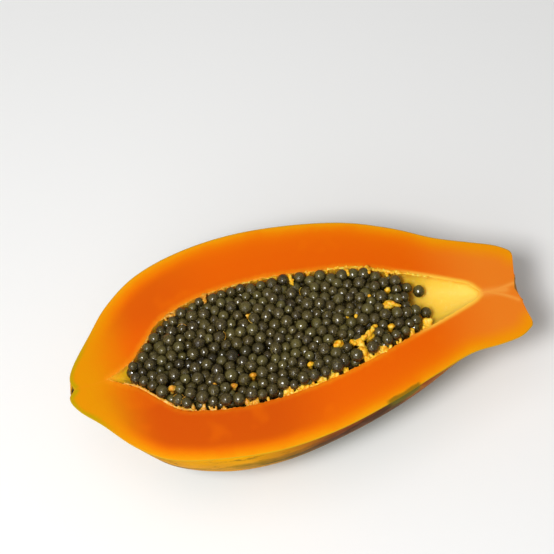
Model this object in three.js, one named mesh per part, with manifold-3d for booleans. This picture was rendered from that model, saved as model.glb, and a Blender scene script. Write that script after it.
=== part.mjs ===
// A papaya cut in half lengthwise, lying on its rounded back with the cut face up.
// Two pieces: the flesh with its skin, which grew as one, and the dark seeds that fill its hollow.
// The flesh is a lofted fruit, cut by the knife, hollowed, and set down on a small flat spot.
// The seeds are balls, pushed apart until they lie packed, on a core that fills the hollow below them.
import * as THREE from "three";
import { mergeVertices } from "three/addons/utils/BufferGeometryUtils.js";
import Module from "manifold-3d";

const wasm = await Module();
wasm.setup();

// Driving dimensions, in millimetres.
// In the fruit's own frame X runs along the core, from the blossom end to the stem end.
// +Y is the far side, and the knife cut is the plane z = 0, with the flesh below it.
// Each outline is a list of [place along X, reach out from the core], from one end to the other.
const FAR_OUTLINE = [
  [1, 0], [-0.6, 6.5], [3.5, 15.5], [15, 30.5], [29, 47.5], [49, 62.5], [76, 71.8], [108, 75.8],
  [142, 74], [176, 67.6], [203, 56.9], [226, 44.2], [246, 35.9], [258, 31], [264.8, 26.8],
  [267.8, 22.8], [266.4, 15], [264.1, 6], [262.4, 0],
];
const NEAR_OUTLINE = [
  [1, 0], [-2.8, 5.5], [1.2, 14], [12, 25.5], [27, 43], [46, 56], [76, 62.6], [108, 64.9],
  [142, 60.6], [176, 51.2], [203, 41.6], [226, 34], [244, 32.6], [256, 30.8], [263, 27.2],
  [266, 23.4], [264.9, 15], [264, 6], [262.4, 0],
];
// The back's outline also has a third number: how far the sides are drawn in below the cut. It is 0
// for a round section, more than 0 for a pointed one, and less than 0 for one with full sides.
const BACK_OUTLINE = [
  [1, 0, 0.3], [-1.8, 6, 0.34], [2.4, 14.8, 0.36], [13.5, 28, 0.36], [28, 43.5, 0.28],
  [47.5, 56, 0.02], [76, 64, -0.14], [108, 68, -0.1], [142, 67.3, -0.03], [176, 60.8, -0.04],
  [203, 51, 0], [226, 40.8, 0.26], [245, 34.8, 0.32], [257, 30.8, 0.3], [264, 26.8, 0.3],
  [267, 22.8, 0.3], [266, 15, 0.3], [264.6, 6, 0.3], [262.4, 0, 0.3],
];

// The seed hollow: [place along X, far rim, near rim, depth], the rims as places along Y.
const HOLLOW = [
  [21, 1.9, 1.4, 0.3], [29, 5.2, -3.2, 4.4], [37, 10, -8, 10.5], [45, 18.5, -16, 17.5],
  [56, 29.6, -26.2, 25], [72, 37, -31, 31.5], [95, 41.8, -33.7, 35.5], [122, 42.7, -32.4, 35.5],
  [150, 40.2, -27.8, 32], [175, 36.6, -21.2, 25.5], [196, 28.4, -14.3, 17], [214, 20.4, -9.1, 11],
  [229, 13.4, -4.4, 6.8], [238, 8.2, -1.1, 3.8], [242, 2.6, 1.7, 0.5],
];

// Five soft lobes run down the fruit, with a crease down the middle of the back. They are deep at
// the blossom end, and slight at the stem end.
const LOBES = 5;
const BLOSSOM_CREASE = 0.16; // share of the radius, at the very end
const BLOSSOM_CREASE_FADE = 17; // mm along X
const STEM_CREASE = 0.09;
const STEM_CREASE_FADE = 26;
const BODY_CREASE = 0.012; // what is left of the lobes along the middle

const RESTING_PITCH = 1.5; // degrees about Y, at which the half's weight is over the spot it lies on
const FLAT_SPOT_DEPTH = 0.8; // how much of the round back is taken off by the flat spot

// The yellow nubs of the placenta that stand along the hollow's two rims, between the seeds.
// Each is [place along X, reach in from the wall, radius].
const FAR_NUBS = [
  [61.5, 2.6, 1.1], [66.5, 3.4, 1.3], [85.5, 5, 1.9], [89.5, 3, 1.4], [97, 2.4, 1.4], [108, 1.6, 1],
  [120, 1.7, 1], [129, 1.8, 1], [137.5, 6, 1.5], [148, 3, 1.4], [159, 1.8, 1.1], [170, 4, 2],
  [182, 4.4, 2.6], [193, 2.5, 1.4],
];
const NEAR_NUBS = [
  [52, 2.2, 1], [63.5, 4, 1.4], [69.5, 4.2, 1.4], [80, 1.8, 1], [94.5, 3.6, 1.7], [99.5, 3.4, 1.5],
  [106.5, 2, 1.1], [118, 3.8, 2.2], [126.5, 4, 2.4], [133, 2, 1.2], [138.5, 3.8, 2.2], [145.5, 4.4, 2.6],
  [153, 2.6, 1.3], [168, 5, 2.2], [173.5, 2.8, 1.2], [178.5, 4.6, 2.4], [188, 2.4, 1.2], [197, 3.6, 2],
  [206.5, 4.4, 2.6],
];
const NUB_ROOT = 2.4; // how far its root is sunk in the flesh
const NUB_DEPTH = 0.6; // how far below the cut its top stands
const NUB_LEAN = 0.3; // radians

// Bare spots in the bed of seeds, where soft tissue shows: [x, y, radius].
const BARE_SPOTS = [
  [209.5, 8.6, 4.6], [188, 7.2, 3], [193, 4.7, 1.5], [190, 16.4, 1.8], [176.5, -4.8, 1.5], [185.5, -6.7, 1.8],
  [153.5, -10, 2.6], [161.5, -11, 1.8], [171.5, -9, 2.8], [166, -16, 2.6], [134.5, -18.5, 1.6], [107, 20, 1],
  [101, -17, 1.8], [89, -20.5, 1.8], [54.5, -13.5, 2],
];

// The loose seeds at the bare end of the hollow: [x, y, radius].
const LOOSE_SEEDS = [
  [209, 16.6, 3.4], [202, 17, 3.2], [198.2, 10.4, 3.1], [209.2, 0.4, 3.3], [202.8, 1.4, 3.3], [197, 0.2, 3.5],
  [201.2, -4.8, 3.2],
];

// The seeds.
const SEED_RADIUS = [2.7, 3.9];
const SEED_PITCH = 6.5; // between neighbours, before they are pushed apart
const SEED_JITTER = 1.8;
const SEED_LIFT = [-2.2, 1]; // how far a seed may lie below or above the bed
const SEED_SQUEEZE = 1; // share of their radii at which two seeds touch
const SEED_HEAVE = 1; // how far a seed may be pushed up out of the bed
const SEED_WALL_GAP = 0.6; // between a seed and the flesh
const SEED_STANDOFF = 2.6; // the most that a seed of the rim keeps away beyond that
const SEED_CLEARANCE = 0.6; // between a seed and a nub
const SEED_LEAN = 0.5; // how far one pass moves a seed of the rim towards its wall
const SETTLING_PASSES = 40;
const SEED_START = 36;
const SEED_END = 211;
const ROW_ENDS = { far: 15, near: 11 }; // how far before that the seeds along the rims end
const CORE_INSET = 4.2; // from the wall of the hollow, so that the outermost seeds stand out of it
const CORE_DROP = 0.7; // the core's top lies this far below the seeds' middles
const FURROW_DEPTH = 3.6; // of the dark line where the two banks of seeds meet
const FURROW_WIDTH = 4.5;
const HEAP_HEIGHT = 2.8; // of the banks over the seeds along the rim
const RIM_HEIGHT = -0.2; // of the middles of the seeds along the rim
const RUN_DOWN = 10; // how far the bed sinks to the bare end of the hollow
const RUN_DOWN_LENGTH = 26;

const FINENESS = { outlineSteps: 4, around: 44, hollowSteps: 2, hollowAround: 30, coreRings: 14, coreAcross: 8 };

const FLESH_COLOUR = 0xe9741a;
const SEED_COLOUR = 0x1f1e17;

// A smooth curve through one row of numbers for each knot.
function curveThrough(knots, rows) {
  const curve = new THREE.CubicInterpolant(knots, rows.flat(), rows[0].length);
  return (at) => Array.from(curve.evaluate(at));
}

const stationNumbers = FAR_OUTLINE.map((_, index) => index);
const farAt = curveThrough(stationNumbers, FAR_OUTLINE);
const nearAt = curveThrough(stationNumbers, NEAR_OUTLINE);
const backAt = curveThrough(stationNumbers, BACK_OUTLINE);
const hollowAt = curveThrough(
  HOLLOW.map(([x]) => x),
  HOLLOW.map(([, far, near, depth]) => [far, near, depth]),
);

// 1 on the crest of a lobe, 0 in the crease between two.
function lobe(angle) {
  return Math.abs(Math.cos((LOBES / 2) * (angle - Math.PI / 2)));
}

function creaseDepth(x) {
  const blossom = BLOSSOM_CREASE * Math.exp(-Math.max(x, 0) / BLOSSOM_CREASE_FADE);
  const stem = STEM_CREASE * Math.exp(-Math.max(266 - x, 0) / STEM_CREASE_FADE);
  return BODY_CREASE + blossom + stem;
}

// A point of the skin: the station along the outlines, and the angle round the core from the far side.
function skinPoint(station, angle) {
  const [farX, farReach] = farAt(station);
  const [nearX, nearReach] = nearAt(station);
  const [backX, backReach, drawnIn] = backAt(station);
  const cos = Math.cos(angle);
  const sin = Math.sin(angle);
  const across = Math.sign(cos) * ((1 - drawnIn) * Math.abs(cos) + drawnIn * (1 - Math.abs(sin)));
  const sideX = cos > 0 ? farX : nearX;
  const x = sideX * cos * cos + backX * sin * sin;
  const swell = 1 + creaseDepth(x) * (lobe(angle) - 0.64);
  const middle = (farReach - nearReach) / 2;
  const halfWidth = (farReach + nearReach) / 2;
  return new THREE.Vector3(x, middle + halfWidth * across * swell, backReach * sin * swell);
}

// A closed body through rings of points. Its two end rings close on their middles.
function loft(rings) {
  const count = rings[0].length;
  const points = rings.flat();
  const faces = [];
  for (let ring = 0; ring + 1 < rings.length; ring++)
    for (let step = 0; step < count; step++) {
      const a = ring * count + step;
      const b = ring * count + ((step + 1) % count);
      faces.push(a, b, b + count, a, b + count, a + count);
    }
  for (const [ring, flip] of [[0, true], [rings.length - 1, false]]) {
    const middle = rings[ring]
      .reduce((sum, point) => sum.add(point), new THREE.Vector3())
      .divideScalar(count);
    points.push(middle);
    for (let step = 0; step < count; step++) {
      const a = ring * count + step;
      const b = ring * count + ((step + 1) % count);
      faces.push(...(flip ? [b, a] : [a, b]), points.length - 1);
    }
  }
  return new THREE.BufferGeometry().setFromPoints(points).setIndex(faces);
}

function solid(geometry) {
  const bare = new THREE.BufferGeometry().setAttribute("position", geometry.getAttribute("position"));
  bare.setIndex(geometry.index);
  const merged = mergeVertices(bare, 1e-4);
  const corners = merged.index.array;
  const kept = [];
  for (let i = 0; i < corners.length; i += 3) {
    const [a, b, c] = [corners[i], corners[i + 1], corners[i + 2]];
    if (a !== b && b !== c && c !== a) kept.push(a, b, c);
  }
  const mesh = new wasm.Mesh({
    numProp: 3,
    vertProperties: Float32Array.from(merged.getAttribute("position").array),
    triVerts: Uint32Array.from(kept),
  });
  return new wasm.Manifold(mesh);
}

function geometryOf(body) {
  const mesh = body.getMesh();
  return new THREE.BufferGeometry()
    .setAttribute("position", new THREE.BufferAttribute(Float32Array.from(mesh.vertProperties), 3))
    .setIndex(Array.from(mesh.triVerts));
}

function joined(bodies) {
  while (bodies.length > 1) {
    const pairs = [];
    for (let i = 0; i < bodies.length; i += 2)
      pairs.push(i + 1 < bodies.length ? bodies[i].add(bodies[i + 1]) : bodies[i]);
    bodies = pairs;
  }
  return bodies[0];
}

// Whole numbers only, so that every run draws the same seeds.
let drawn = 20260;
function random() {
  drawn = (drawn * 16807) % 2147483647;
  return drawn / 2147483647;
}

function wholeFruit() {
  const rings = [];
  const last = FAR_OUTLINE.length - 1;
  for (let step = 0; step <= last * FINENESS.outlineSteps; step++) {
    const station = step / FINENESS.outlineSteps;
    const ring = [];
    for (let i = 0; i < FINENESS.around; i++)
      ring.push(skinPoint(station, (2 * Math.PI * i) / FINENESS.around));
    rings.push(ring);
  }
  return loft(rings);
}

function seedHollow() {
  const rings = [];
  for (let knot = 0; knot + 1 < HOLLOW.length; knot++)
    for (let part = 0; part < FINENESS.hollowSteps; part++) {
      const share = part / FINENESS.hollowSteps;
      rings.push(hollowRing(HOLLOW[knot][0] * (1 - share) + HOLLOW[knot + 1][0] * share));
    }
  rings.push(hollowRing(HOLLOW.at(-1)[0]));
  return loft(rings);
}

function hollowRing(x) {
  const [far, near, depth] = hollowAt(x);
  const ring = [];
  for (let i = 0; i < FINENESS.hollowAround; i++) {
    const angle = (2 * Math.PI * i) / FINENESS.hollowAround;
    const y = (far + near) / 2 + ((far - near) / 2) * Math.cos(angle);
    ring.push(new THREE.Vector3(x, y, depth * Math.sin(angle)));
  }
  return ring;
}

// Where the nubs stand: each has its root on the hollow's wall and leans in and up from it.
function nubPlaces() {
  const places = [];
  for (const [side, nubs] of [[1, FAR_NUBS], [-1, NEAR_NUBS]])
    for (const [x, reach, radius] of nubs) {
      const [far, near] = hollowAt(x);
      places.push({ x, y: side > 0 ? far : near, z: -NUB_DEPTH - radius, side, reach, radius });
    }
  return places;
}

function nub({ x, y, z, side, reach, radius }) {
  const cone = new THREE.CylinderGeometry(radius * 0.6, radius, reach + NUB_ROOT, 6, 1);
  cone.translate(0, (reach - NUB_ROOT) / 2, 0);
  cone.rotateX(side > 0 ? Math.PI / 2 : -Math.PI / 2);
  cone.rotateX(-side * NUB_LEAN);
  return solid(cone.translate(x, y, z));
}

// Height of the seeds' middles over the cut: low along the rim, heaped in two banks with a furrow
// between them, and running down into the bare end of the hollow.
function bedHeight(x, y) {
  const [far, near] = hollowAt(x);
  const across = (2 * y - far - near) / (far - near);
  const bank = HEAP_HEIGHT * (1 - across * across);
  const furrowLine = y / FURROW_WIDTH;
  const furrowFade = Math.max(0, 1 - Math.abs(x - 88) / 62);
  const furrow = (FURROW_DEPTH * furrowFade) / (1 + furrowLine * furrowLine);
  const past = Math.max(0, x - SEED_END + RUN_DOWN_LENGTH) / RUN_DOWN_LENGTH;
  return RIM_HEIGHT + bank - furrow - RUN_DOWN * past * past;
}

// Seeds line both rims, and fill the bed between them.
function seedPlaces(nubs) {
  const seeds = [];
  const between = ([low, high]) => low + (high - low) * random();
  for (const [x, y, radius] of LOOSE_SEEDS) {
    const seed = { x, y, z: bedHeight(x, y), radius, lift: 0, side: 0, gap: SEED_WALL_GAP };
    holdInHollow(seed);
    seeds.push({ ...seed, held: [seed.x, seed.y, seed.z] });
  }
  for (const side of [1, -1])
    for (let x = SEED_START + 2; x < SEED_END - (side > 0 ? ROW_ENDS.far : ROW_ENDS.near); ) {
      const radius = between(SEED_RADIUS);
      const [far, near] = hollowAt(x);
      const y = side > 0 ? far - radius : near + radius;
      const lift = between(SEED_LIFT) / 2;
      const gap = SEED_WALL_GAP + SEED_STANDOFF * random() * random();
      seeds.push({ x, y, z: bedHeight(x, y) + lift, radius, lift, side, gap });
      x += radius * (1.6 + 0.6 * random());
    }
  const rowPitch = SEED_PITCH * 0.866;
  for (let row = -8; row <= 9; row++)
    for (let column = 0; column <= 32; column++) {
      const x = SEED_START + (column + (row & 1) / 2) * SEED_PITCH + SEED_JITTER * (2 * random() - 1);
      const y = row * rowPitch + SEED_JITTER * (2 * random() - 1);
      const radius = between(SEED_RADIUS);
      const lift = between(SEED_LIFT);
      const end = SEED_END - 12 - 6 * random();
      if (x > end || x < SEED_START) continue;
      const [far, near] = hollowAt(x);
      if (y > far - 7.2 || y < near + 7.2) continue;
      seeds.push({ x, y, z: bedHeight(x, y) + lift, radius, lift, side: 0, gap: SEED_WALL_GAP });
    }
  for (let pass = 0; pass < SETTLING_PASSES; pass++) settle(seeds, nubs);
  return seeds;
}

// One pass: neighbours push each other apart, each seed sinks or rises towards the bed, and the
// wall, the nubs and the bare spots hold it off.
function settle(seeds, nubs) {
  for (let i = 0; i < seeds.length; i++)
    for (let j = i + 1; j < seeds.length; j++) {
      const [a, b] = [seeds[i], seeds[j]];
      const [dx, dy, dz] = [b.x - a.x, b.y - a.y, b.z - a.z];
      const reach = (a.radius + b.radius) * SEED_SQUEEZE;
      const square = dx * dx + dy * dy + dz * dz;
      if (square >= reach * reach) continue;
      const distance = Math.sqrt(square);
      const push = (reach - distance) / 2 / distance;
      a.x -= dx * push;
      a.y -= dy * push;
      a.z -= dz * push;
      b.x += dx * push;
      b.y += dy * push;
      b.z += dz * push;
    }
  for (const seed of seeds) {
    seed.z += (bedHeight(seed.x, seed.y) + seed.lift - seed.z) * 0.25;
    seed.y += seed.side * SEED_LEAN;
    for (const [x, y, radius] of BARE_SPOTS) holdOff(seed, x, y, seed.z, radius);
    holdInHollow(seed);
    for (const { x, y, z, side, reach, radius } of nubs) {
      holdOff(seed, x, y, z, radius + SEED_CLEARANCE);
      holdOff(seed, x, y - side * reach * 0.6, z + reach * 0.2, radius * 0.8 + SEED_CLEARANCE);
    }
    seed.z = Math.min(seed.z, bedHeight(seed.x, seed.y) + SEED_HEAVE);
    if (seed.held) [seed.x, seed.y, seed.z] = seed.held;
  }
}

// Moves a seed away from a place until it is that far clear of it.
function holdOff(seed, x, y, z, clear) {
  const [dx, dy, dz] = [seed.x - x, seed.y - y, seed.z - z];
  const reach = seed.radius + clear;
  const square = dx * dx + dy * dy + dz * dz;
  if (square >= reach * reach) return;
  const push = reach / Math.sqrt(square) - 1;
  seed.x += dx * push;
  seed.y += dy * push;
  seed.z += dz * push;
}

function holdInHollow(seed) {
  seed.x = Math.min(Math.max(seed.x, SEED_START), SEED_END);
  const wall = hollowAt(seed.x);
  const before = hollowAt(seed.x - 1);
  const after = hollowAt(seed.x + 1);
  const off = wall.map((_, i) => {
    const slope = (after[i] - before[i]) / 2;
    return (seed.radius + seed.gap) * Math.sqrt(1 + slope * slope);
  });
  const [far, near] = [wall[0] - off[0], wall[1] + off[1]];
  const middle = (far + near) / 2;
  const room = (far - near) / 2;
  const roomBelow = wall[2] - off[2];
  const across = (seed.y - middle) / room;
  const down = seed.z < 0 ? seed.z / roomBelow : 0;
  const share = Math.sqrt(across * across + down * down);
  if (share <= 1) return;
  seed.y = middle + (seed.y - middle) / share;
  if (seed.z < 0) seed.z /= share;
}

function seedBall({ x, y, z, radius }) {
  const ball = new THREE.IcosahedronGeometry(radius, 0);
  ball.rotateX(Math.PI * random());
  ball.rotateY(Math.PI * random());
  return solid(ball.translate(x, y, z));
}

function seedCore() {
  const rings = [];
  for (let i = 0; i <= FINENESS.coreRings; i++) {
    const x = SEED_START + 1 + ((SEED_END - SEED_START) * i) / FINENESS.coreRings;
    const [far, near, depth] = hollowAt(x);
    const middle = (far + near) / 2;
    const deepest = depth - CORE_INSET;
    const top = (y) => Math.max(bedHeight(x, y) - CORE_DROP, 1 - deepest);
    const half = ((far - near) / 2 - CORE_INSET) * Math.sqrt(1 - (top(middle) / deepest) ** 2);
    const ring = [];
    for (let step = 0; step < FINENESS.coreAcross; step++) {
      const angle = (Math.PI * step) / FINENESS.coreAcross;
      const y = middle + half * Math.cos(angle);
      const floor = -deepest * Math.sin(angle);
      ring.push(new THREE.Vector3(x, y, Math.min(floor, top(y))));
    }
    for (let step = 0; step < FINENESS.coreAcross; step++) {
      const y = middle - half + (2 * half * step) / FINENESS.coreAcross;
      ring.push(new THREE.Vector3(x, y, top(y)));
    }
    rings.push(ring);
  }
  return solid(loft(rings.map((ring) => ring.reverse())));
}

// The fruit lies pitched about Y. What is cut level with the ground is turned back into its frame.
const pitch = THREE.MathUtils.degToRad(RESTING_PITCH);
const roomAbove = new THREE.BoxGeometry(400, 300, 100).translate(130, 0, 50);

const nubs = nubPlaces();
let flesh = solid(wholeFruit()).subtract(solid(roomAbove)).subtract(solid(seedHollow()));
flesh = joined([flesh, ...nubs.map(nub)]);

const laid = geometryOf(flesh).rotateY(pitch);
laid.computeBoundingBox();
const ground = laid.boundingBox.min.z + FLAT_SPOT_DEPTH;
const belowGround = new THREE.BoxGeometry(400, 300, 50).translate(130, 0, ground - 25).rotateY(-pitch);
flesh = flesh.subtract(solid(belowGround));

const seeds = joined([seedCore(), ...seedPlaces(nubs).map(seedBall)]);

function piece(name, body, material) {
  const mesh = new THREE.Mesh(geometryOf(body), material);
  mesh.name = name;
  return mesh;
}

const fruit = new THREE.Group();
fruit.rotation.y = pitch;
fruit.add(
  piece(
    "flesh_and_skin",
    flesh,
    new THREE.MeshStandardMaterial({ color: FLESH_COLOUR, roughness: 0.45, metalness: 0 }),
  ),
  piece("seeds", seeds, new THREE.MeshStandardMaterial({ color: SEED_COLOUR, roughness: 0.2, metalness: 0 })),
);

// The origin is the middle of the space that the half takes up, on the ground.
const half = new THREE.Group();
half.add(fruit);
const box = new THREE.Box3().setFromObject(half, true);
fruit.position.set(-(box.min.x + box.max.x) / 2, -(box.min.y + box.max.y) / 2, -box.min.z);

export default half;
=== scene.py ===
import math

import bpy
import numpy as np
from mathutils import Matrix, Vector, noise


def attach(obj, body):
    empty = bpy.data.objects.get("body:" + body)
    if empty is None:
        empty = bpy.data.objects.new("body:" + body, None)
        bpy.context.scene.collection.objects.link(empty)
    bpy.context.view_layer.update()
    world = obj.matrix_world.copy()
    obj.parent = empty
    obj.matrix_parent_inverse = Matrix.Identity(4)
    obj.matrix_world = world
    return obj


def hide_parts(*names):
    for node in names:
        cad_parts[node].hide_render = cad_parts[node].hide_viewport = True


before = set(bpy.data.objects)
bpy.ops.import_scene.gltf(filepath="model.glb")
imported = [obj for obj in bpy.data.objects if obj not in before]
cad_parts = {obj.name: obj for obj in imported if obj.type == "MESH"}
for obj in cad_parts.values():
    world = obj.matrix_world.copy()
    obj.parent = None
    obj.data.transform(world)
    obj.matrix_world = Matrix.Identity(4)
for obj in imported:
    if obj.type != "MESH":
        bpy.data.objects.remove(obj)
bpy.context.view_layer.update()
bpy.ops.object.select_all(action="DESELECT")

# Flesh. The fruit grew as one piece: waxy skin, a thick wall of flesh that turns from gold under
# the skin to deep orange inside, and a soft cream lining round the hollow. The knife went lengthwise
# through it. The skin is drawn in at the blossom end, and ends in a shallow pit where the stalk was.
FAR_OUTLINE = [
    (1, 0), (-0.6, 6.5), (3.5, 15.5), (15, 30.5), (29, 47.5), (49, 62.5), (76, 71.8), (108, 75.8),
    (142, 74), (176, 67.6), (203, 56.9), (226, 44.2), (246, 35.9), (258, 31), (264.8, 26.8),
    (267.8, 22.8), (266.4, 15), (264.1, 6), (262.4, 0),
]
NEAR_OUTLINE = [
    (1, 0), (-2.8, 5.5), (1.2, 14), (12, 25.5), (27, 43), (46, 56), (76, 62.6), (108, 64.9),
    (142, 60.6), (176, 51.2), (203, 41.6), (226, 34), (244, 32.6), (256, 30.8), (263, 27.2),
    (266, 23.4), (264.9, 15), (264, 6), (262.4, 0),
]
# The third number is how far the sides are drawn in below the cut: 0 for a round section, less than 0
# for one with full sides.
BACK_OUTLINE = [
    (1, 0, 0.3), (-1.8, 6, 0.34), (2.4, 14.8, 0.36), (13.5, 28, 0.36), (28, 43.5, 0.28),
    (47.5, 56, 0.02), (76, 64, -0.14), (108, 68, -0.1), (142, 67.3, -0.03), (176, 60.8, -0.04),
    (203, 51, 0), (226, 40.8, 0.26), (245, 34.8, 0.32), (257, 30.8, 0.3), (264, 26.8, 0.3),
    (267, 22.8, 0.3), (266, 15, 0.3), (264.6, 6, 0.3), (262.4, 0, 0.3),
]
# Along X, the far rim, the near rim and the depth of the hollow.
HOLLOW = [
    (21, 1.9, 1.4, 0.3), (29, 5.2, -3.2, 4.4), (37, 10, -8, 10.5), (45, 18.5, -16, 17.5),
    (56, 29.6, -26.2, 25), (72, 37, -31, 31.5), (95, 41.8, -33.7, 35.5), (122, 42.7, -32.4, 35.5),
    (150, 40.2, -27.8, 32), (175, 36.6, -21.2, 25.5), (196, 28.4, -14.3, 17), (214, 20.4, -9.1, 11),
    (229, 13.4, -4.4, 6.8), (238, 8.2, -1.1, 3.8), (242, 2.6, 1.7, 0.5),
]
# The place on the core that each station of the outlines faces across the cut.
FACED = [1, 4.0, 9, 17, 26, 39, 68, 104, 140, 174, 201, 220, 233.5, 240.8, 246, 250, 254.5, 259, 262.4]
LOBES = 5
BLOSSOM_CREASE, BLOSSOM_CREASE_FADE = 0.16, 17
STEM_CREASE, STEM_CREASE_FADE = 0.09, 26
BODY_CREASE = 0.012
STALK_STATION = 15.1  # where the outlines turn in to the stalk, and the flesh has no gold edge
FLOWER, STALK = (0.6, 0, 0), (263, 0, 0)  # the middles of the two scars
RING_SPACING = 0.9
BACK_STEPS, CUT_STEPS, HOLLOW_STEPS = 84, 26, 46
LYING = Matrix.Translation((-0.1324540, -0.0054327, 0.0702055)) @ Matrix.Rotation(math.radians(1.5), 4, "Y")


def curve_through(knots, rows):
    """A smooth curve through one row of numbers for each knot."""
    last = len(knots) - 1

    def at(place):
        if place <= knots[0]:
            return list(rows[0])
        if place >= knots[last]:
            return list(rows[last])
        after = next(i for i in range(1, last + 1) if place < knots[i])
        t0, t1 = knots[after - 1], knots[after]
        previous, t_previous = (after - 2, knots[after - 2]) if after > 1 else (after, t1)
        following, t_following = (after + 1, knots[after + 1]) if after < last else (after - 1, t0)
        half = (t1 - t0) * 0.5
        w_previous, w_following = half / (t0 - t_previous), half / (t_following - t1)
        p = (place - t0) / (t1 - t0)
        pp = p * p
        ppp = pp * p
        s_previous = -w_previous * ppp + 2 * w_previous * pp - w_previous * p
        s0 = (1 + w_previous) * ppp + (-1.5 - 2 * w_previous) * pp + (-0.5 + w_previous) * p + 1
        s1 = (-1 - w_following) * ppp + (1.5 + w_following) * pp + 0.5 * p
        s_following = w_following * ppp - w_following * pp
        return [
            s_previous * a + s0 * b + s1 * c + s_following * d
            for a, b, c, d in zip(rows[previous], rows[after - 1], rows[after], rows[following])
        ]

    return at


stations = list(range(len(FAR_OUTLINE)))
far_at = curve_through(stations, FAR_OUTLINE)
near_at = curve_through(stations, NEAR_OUTLINE)
back_at = curve_through(stations, BACK_OUTLINE)
faced_at = curve_through(stations, [(x,) for x in FACED])
hollow_at = curve_through([row[0] for row in HOLLOW], [row[1:] for row in HOLLOW])


def skin_ring(station, angles):
    """Points of the skin at one station of the outlines, at angles round the core."""
    (far_x, far), (near_x, near) = far_at(station), near_at(station)
    back_x, back, drawn_in = back_at(station)
    cos, sin = np.cos(angles), np.sin(angles)
    across = np.sign(cos) * ((1 - drawn_in) * np.abs(cos) + drawn_in * (1 - np.abs(sin)))
    x = np.where(cos > 0, far_x, near_x) * cos * cos + back_x * sin * sin
    lobe = np.abs(np.cos(LOBES / 2 * (angles - math.pi / 2)))
    crease = (
        BODY_CREASE
        + BLOSSOM_CREASE * np.exp(-np.maximum(x, 0) / BLOSSOM_CREASE_FADE)
        + STEM_CREASE * np.exp(-np.maximum(266 - x, 0) / STEM_CREASE_FADE)
    )
    swell = 1 + crease * (lobe - 0.64)
    y = (far - near) / 2 + (far + near) / 2 * across * swell
    return np.stack([x, y, back * sin * swell], axis=1)


def wobble(points, size, seed):
    """A smooth random number from about -1 to 1 at each point, for bumps about that many mm across."""
    return np.array([noise.noise(Vector(p) / size + Vector((seed, seed * 0.7, -seed))) for p in points])


def flesh_ring(station):
    """One ring round the flesh: under the back, in along the near cut, round the hollow, out again."""
    skin = skin_ring(station, -np.linspace(0, math.pi, BACK_STEPS + 1))
    x = faced_at(station)[0]
    ends = HOLLOW[0][0], HOLLOW[-1][0]
    if ends[0] < x < ends[1]:
        far, near, depth = hollow_at(x)
    else:
        end, middle = (ends[0], 1.65) if x <= ends[0] else (ends[1], 2.2)
        far = near = middle * (1 - abs(x - end) / (20 if x <= ends[0] else 20.4))
        depth = 0
    angles = -math.pi + np.linspace(0, math.pi, HOLLOW_STEPS + 1)
    wall_y = (far + near) / 2 + (far - near) / 2 * np.cos(angles)
    wall = np.stack([np.full(len(angles), x), wall_y, depth * np.sin(angles)], axis=1)
    across = ((1 - np.cos(np.linspace(0, math.pi, CUT_STEPS + 1))) / 2)[1:-1, None]
    near_cut = skin[-1] + (wall[0] - skin[-1]) * across
    far_cut = wall[-1] + (skin[0] - wall[-1]) * across
    return np.concatenate([skin, near_cut, wall, far_cut, skin[:1]])


places = []
for station, (here, ahead) in enumerate(zip(FAR_OUTLINE, FAR_OUTLINE[1:])):
    steps = math.ceil(math.dist(here, ahead) / RING_SPACING)
    places += [station + step / steps for step in range(steps)]
rings = np.stack([flesh_ring(place) for place in places + [stations[-1]]])
station_count = len(rings)
near_from = BACK_STEPS + 1
hollow_from = near_from + CUT_STEPS - 1
far_from = hollow_from + HOLLOW_STEPS + 1
around = rings.shape[1]

# Distances across the cut face, from the skin and from the rim of the hollow.
before_stalk = np.array(places + [stations[-1]]) < STALK_STATION
skin_line = np.concatenate([rings[before_stalk, 0], rings[before_stalk, BACK_STEPS]])[:, :2]
has_hollow = np.abs(rings[:, hollow_from, 1] - rings[:, far_from - 1, 1]) > 0.02
rim_line = np.concatenate([rings[has_hollow, hollow_from], rings[has_hollow, far_from - 1]])[:, :2]
flat = rings.reshape(-1, 3)
column = np.tile(np.arange(around), station_count)


def nearest(points, line):
    return np.concatenate(
        [np.sqrt(((part[:, None] - line[None]) ** 2).sum(2).min(1)) for part in np.array_split(points, 60)]
    )


def close(distance, reach):
    """1 at no distance, falling to 0 at the reach."""
    return np.clip(1 - distance / reach, 0, 1)


def distance_to(place, stretch=(1, 1, 1)):
    """How far each point of the flesh is from a place, in mm, with the axes stretched."""
    return np.sqrt((((flat - place) * stretch) ** 2).sum(1))


from_skin = nearest(flat[:, :2], skin_line)
from_rim = nearest(flat[:, :2], rim_line)
is_skin = (column <= BACK_STEPS) | (column == around - 1)
is_wall = (column >= hollow_from) & (column < far_from)
is_cut = ~is_skin & ~is_wall
from_skin[is_skin] = 0

# The knife leaves the edge of the skin a little rounded. The soft rim of the hollow is ragged, and
# evens out towards the stem end.
EDGE_DROP, EDGE_WIDTH = 0.22, 0.6
RIM_RAGGED, RIM_SAG, RIM_OVERHANG, WALL_LUMPS = 0.75, 0.55, 0.45, 0.55
is_edge = (is_cut | is_skin) & (np.abs(flat[:, 2]) < 0.01)
flat[:, 2] -= np.where(is_edge, EDGE_DROP * close(from_skin, EDGE_WIDTH) ** 2, 0)
ragged = wobble(flat, 2.6, 3.1) + 0.6 * wobble(flat, 1.2, 8.4)
inward = np.where(column < hollow_from + HOLLOW_STEPS / 2, 1, -1)
near_rim = np.where(is_wall, close(-flat[:, 2], 3.5), np.where(is_cut, close(from_rim, 2.2), 0))
hollow_width = np.repeat(rings[:, far_from - 1, 1] - rings[:, hollow_from, 1], around)
wide = np.clip((236 - flat[:, 0]) / 26, 0.12, 1) * np.clip(hollow_width / 10, 0, 1)
flat[:, 1] += RIM_RAGGED * ragged * inward * near_rim**2 * wide
flat[:, 2] -= np.where(is_cut, RIM_SAG * close(from_rim, 1.3) ** 2 * wide, 0)
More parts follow.
